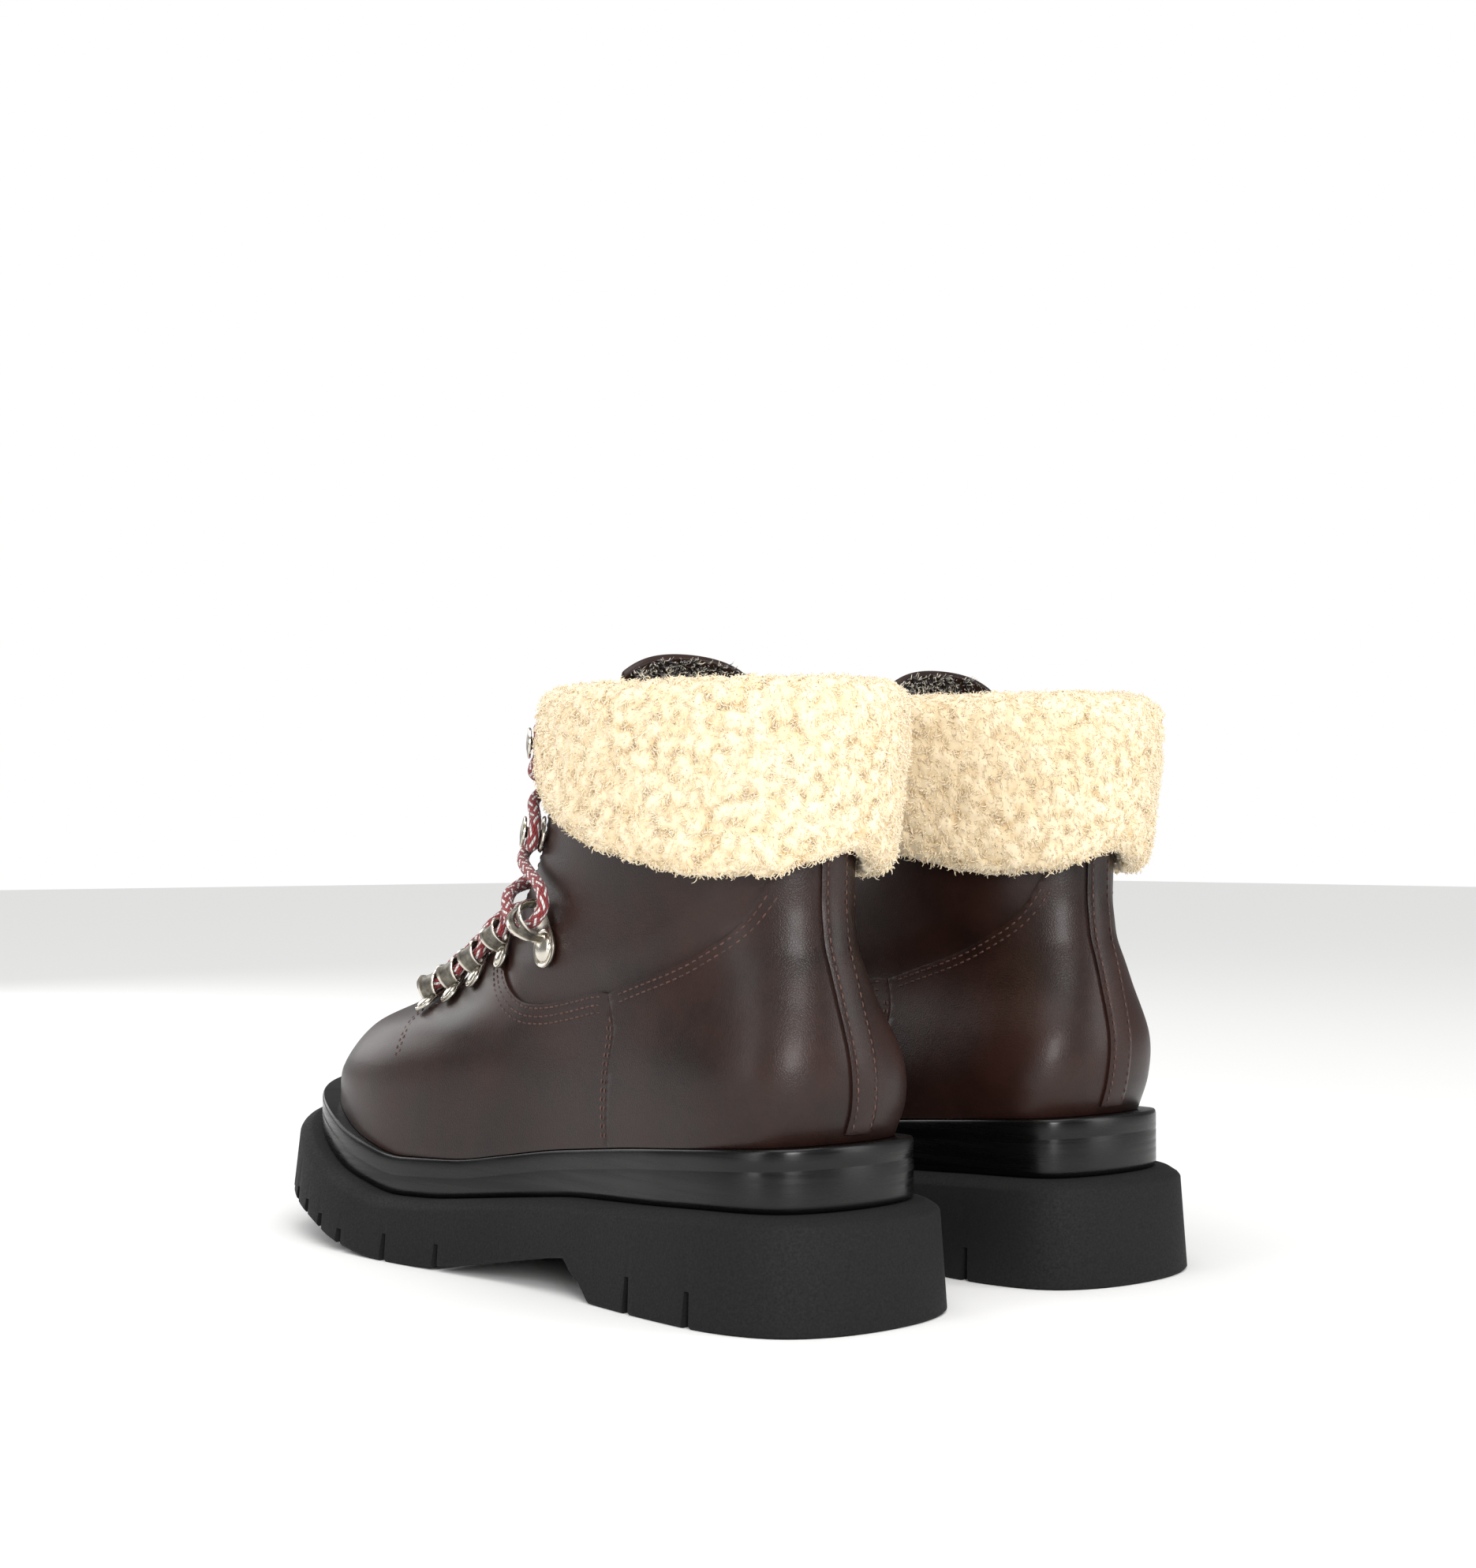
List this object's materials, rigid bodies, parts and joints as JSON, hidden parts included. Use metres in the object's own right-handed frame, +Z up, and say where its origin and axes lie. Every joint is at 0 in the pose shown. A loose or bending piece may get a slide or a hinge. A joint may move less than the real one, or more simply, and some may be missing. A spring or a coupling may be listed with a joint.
{
  "type": "lace-up hiking boots, pair",
  "caption": "A pair of fur-cuffed lace-up hiking boots with a lugged sole, tunnel eyelets and speed hooks, standing side by side.",
  "frame": {"origin": "middle of the pair on the ground", "axes": "+Z up; toes point to -Y; the left boot stands on the +X side"},
  "size_m": [0.2292, 0.305, 0.208],
  "materials": {
    "outsole_rubber": "matte moulded rubber",
    "midsole_rubber": "smooth satin rubber",
    "insole_fibre": "pressed fibre board",
    "footbed_felt": "felted wool",
    "upper_leather": "smooth waxed leather",
    "strip_leather": "smooth waxed leather",
    "stiffener_board": "thermoplastic board",
    "lining_fleece": "short wool pile",
    "cuff_shearling": "curly shearling",
    "tongue_leather": "smooth waxed leather",
    "lace_braid": "round braid",
    "antique_nickel": "antiqued plated metal"
  },
  "bodies": {
    "left_boot": {"outsole_L": "outsole_rubber", "midsole_L": "midsole_rubber", "insole_board_L": "insole_fibre", "footbed_L": "footbed_felt", "vamp_L": "upper_leather", "heel_panel_L": "upper_leather", "lateral_quarter_L": "upper_leather", "medial_quarter_L": "upper_leather", "lining_L": "lining_fleece", "heel_counter_L": "stiffener_board", "toe_puff_L": "stiffener_board", "back_strip_L": "strip_leather", "cuff_L": "cuff_shearling", "tongue_L": "tongue_leather", "lace_L": "lace_braid", "lateral_tunnel_eyelet_1_L": "antique_nickel", "lateral_tunnel_eyelet_2_L": "antique_nickel", "lateral_tunnel_eyelet_3_L": "antique_nickel", "lateral_tunnel_eyelet_4_L": "antique_nickel", "lateral_ankle_hook_L": "antique_nickel", "lateral_lower_speed_hook_L": "antique_nickel", "lateral_upper_speed_hook_L": "antique_nickel", "medial_tunnel_eyelet_1_L": "antique_nickel", "medial_tunnel_eyelet_2_L": "antique_nickel", "medial_tunnel_eyelet_3_L": "antique_nickel", "medial_tunnel_eyelet_4_L": "antique_nickel", "medial_ankle_hook_L": "antique_nickel", "medial_lower_speed_hook_L": "antique_nickel", "medial_upper_speed_hook_L": "antique_nickel"},
    "left_tongue_flap": {"tongue_flap_L": "tongue_leather"},
    "right_boot": {"outsole_R": "outsole_rubber", "midsole_R": "midsole_rubber", "insole_board_R": "insole_fibre", "footbed_R": "footbed_felt", "vamp_R": "upper_leather", "heel_panel_R": "upper_leather", "lateral_quarter_R": "upper_leather", "medial_quarter_R": "upper_leather", "lining_R": "lining_fleece", "heel_counter_R": "stiffener_board", "toe_puff_R": "stiffener_board", "back_strip_R": "strip_leather", "cuff_R": "cuff_shearling", "tongue_R": "tongue_leather", "lace_R": "lace_braid", "lateral_tunnel_eyelet_1_R": "antique_nickel", "lateral_tunnel_eyelet_2_R": "antique_nickel", "lateral_tunnel_eyelet_3_R": "antique_nickel", "lateral_tunnel_eyelet_4_R": "antique_nickel", "lateral_ankle_hook_R": "antique_nickel", "lateral_lower_speed_hook_R": "antique_nickel", "lateral_upper_speed_hook_R": "antique_nickel", "medial_tunnel_eyelet_1_R": "antique_nickel", "medial_tunnel_eyelet_2_R": "antique_nickel", "medial_tunnel_eyelet_3_R": "antique_nickel", "medial_tunnel_eyelet_4_R": "antique_nickel", "medial_ankle_hook_R": "antique_nickel", "medial_lower_speed_hook_R": "antique_nickel", "medial_upper_speed_hook_R": "antique_nickel"},
    "right_tongue_flap": {"tongue_flap_R": "tongue_leather"}
  },
  "joints": [
    {"name": "right_boot_lift", "type": "slide", "parent": "left_boot", "child": "right_boot", "axis": [0, 0, 1], "range_m": [0, 0.25]},
    {"name": "left_tongue_fold", "type": "hinge", "parent": "left_boot", "child": "left_tongue_flap", "pos_m": [0.06067, 0.0001, 0.14613], "axis": [1, 0, 0], "range_deg": [-5, 4]},
    {"name": "right_tongue_fold", "type": "hinge", "parent": "right_boot", "child": "right_tongue_flap", "pos_m": [-0.06067, 0.0001, 0.14613], "axis": [1, 0, 0], "range_deg": [-5, 4]}
  ]
}
